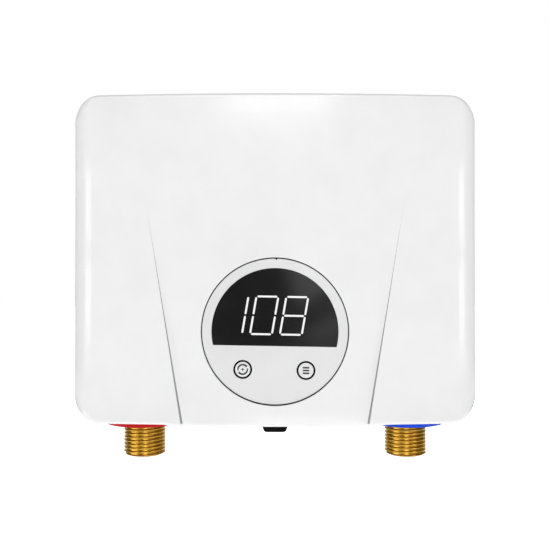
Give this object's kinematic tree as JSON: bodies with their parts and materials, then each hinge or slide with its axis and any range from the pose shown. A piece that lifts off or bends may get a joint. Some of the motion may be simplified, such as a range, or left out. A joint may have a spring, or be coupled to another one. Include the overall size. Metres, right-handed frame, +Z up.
{
  "type": "tankless electric water heater",
  "caption": "Wall-hung tankless electric water heater: white crowned case, turning round control panel with display and keys, threaded inlet and outlet, cable gland.",
  "frame": {"origin": "centre of the back face, on the wall plane", "axes": "+X to the right as one faces the heater, +Y into the wall, +Z up; the front faces -Y"},
  "size_m": [0.19, 0.0703, 0.175],
  "materials": {
    "case_white": "gloss",
    "panel_white": "gloss",
    "smoked_window": "gloss",
    "drum_grey": "satin",
    "board_green": "satin",
    "part_black": "satin",
    "gland_rubber": "matte",
    "gasket_red": "matte",
    "brass": "satin",
    "hot_red": "gloss",
    "cold_blue": "gloss",
    "barrel_steel": "brushed",
    "element_sheath": "satin",
    "screw_steel": "satin",
    "sink_aluminium": "satin",
    "flow_ivory": "satin",
    "turbine_orange": "satin",
    "reset_red": "gloss",
    "transformer_yellow": "satin",
    "capacitor_blue": "gloss",
    "lead_brown": "satin",
    "lead_grey": "satin"
  },
  "bodies": {
    "case": {"back_shell": "case_white", "front_cover": "case_white", "cable_clamp": "drum_grey", "power_board": "board_green", "hall_sensor": "part_black", "thermal_cutout": "part_black", "relays": "part_black", "triacs": "part_black", "cable_gland": "gland_rubber", "spigot_seals": "gland_rubber", "case_seal": "gland_rubber", "element_gaskets": "gasket_red", "outlet_fitting": "brass", "inlet_fitting": "brass", "crossover_nuts": "brass", "temperature_probes": "brass", "earth_screw": "brass", "friction_washer": "brass", "outlet_collar": "hot_red", "inlet_collar": "cold_blue", "outlet_barrel": "barrel_steel", "inlet_barrel": "barrel_steel", "crossover_pipe": "barrel_steel", "barrel_straps": "barrel_steel", "inlet_strainer": "barrel_steel", "outlet_element": "element_sheath", "inlet_element": "element_sheath", "cover_screws": "screw_steel", "strap_screws": "screw_steel", "board_screws": "screw_steel", "terminal_screws": "screw_steel", "clamp_screws": "screw_steel", "turbine_pin": "screw_steel", "heat_sink": "sink_aluminium", "flow_body": "flow_ivory", "turbine_retainer": "flow_ivory", "terminal_block": "flow_ivory", "transformer": "transformer_yellow", "capacitors": "capacitor_blue", "supply_leads": "lead_brown", "element_leads": "lead_brown", "display_lead": "lead_grey"},
    "panel": {"panel_disc": "panel_white", "display_window": "smoked_window", "panel_drum": "drum_grey", "display_board": "board_green", "digit_module": "part_black", "key_switches": "part_black", "panel_retainer": "drum_grey", "retainer_screws": "screw_steel"},
    "mode_key": {"mode_button": "panel_white"},
    "menu_key": {"menu_button": "panel_white"},
    "turbine": {"flow_turbine": "turbine_orange"},
    "reset": {"reset_button": "reset_red"}
  },
  "joints": [
    {"name": "panel_turn", "type": "hinge", "parent": "case", "child": "panel", "pos_m": [0, -0.0692, -0.033], "axis": [0, -1, 0], "range_deg": [0, 180]},
    {"name": "mode_press", "type": "slide", "parent": "panel", "child": "mode_key", "axis": [0, 1, 0], "range_m": [0, 0.0005], "stiffness_N_per_m": 2000, "springref_m": -0.0002},
    {"name": "menu_press", "type": "slide", "parent": "panel", "child": "menu_key", "axis": [0, 1, 0], "range_m": [0, 0.0005], "stiffness_N_per_m": 2000, "springref_m": -0.0002},
    {"name": "turbine_spin", "type": "hinge", "parent": "case", "child": "turbine", "pos_m": [0.0665, -0.03, -0.055], "axis": [0, 0, 1], "continuous": true},
    {"name": "reset_press", "type": "slide", "parent": "case", "child": "reset", "axis": [-1, 0, 0], "range_m": [0, 0.001], "stiffness_N_per_m": 2000, "springref_m": -0.0002}
  ]
}
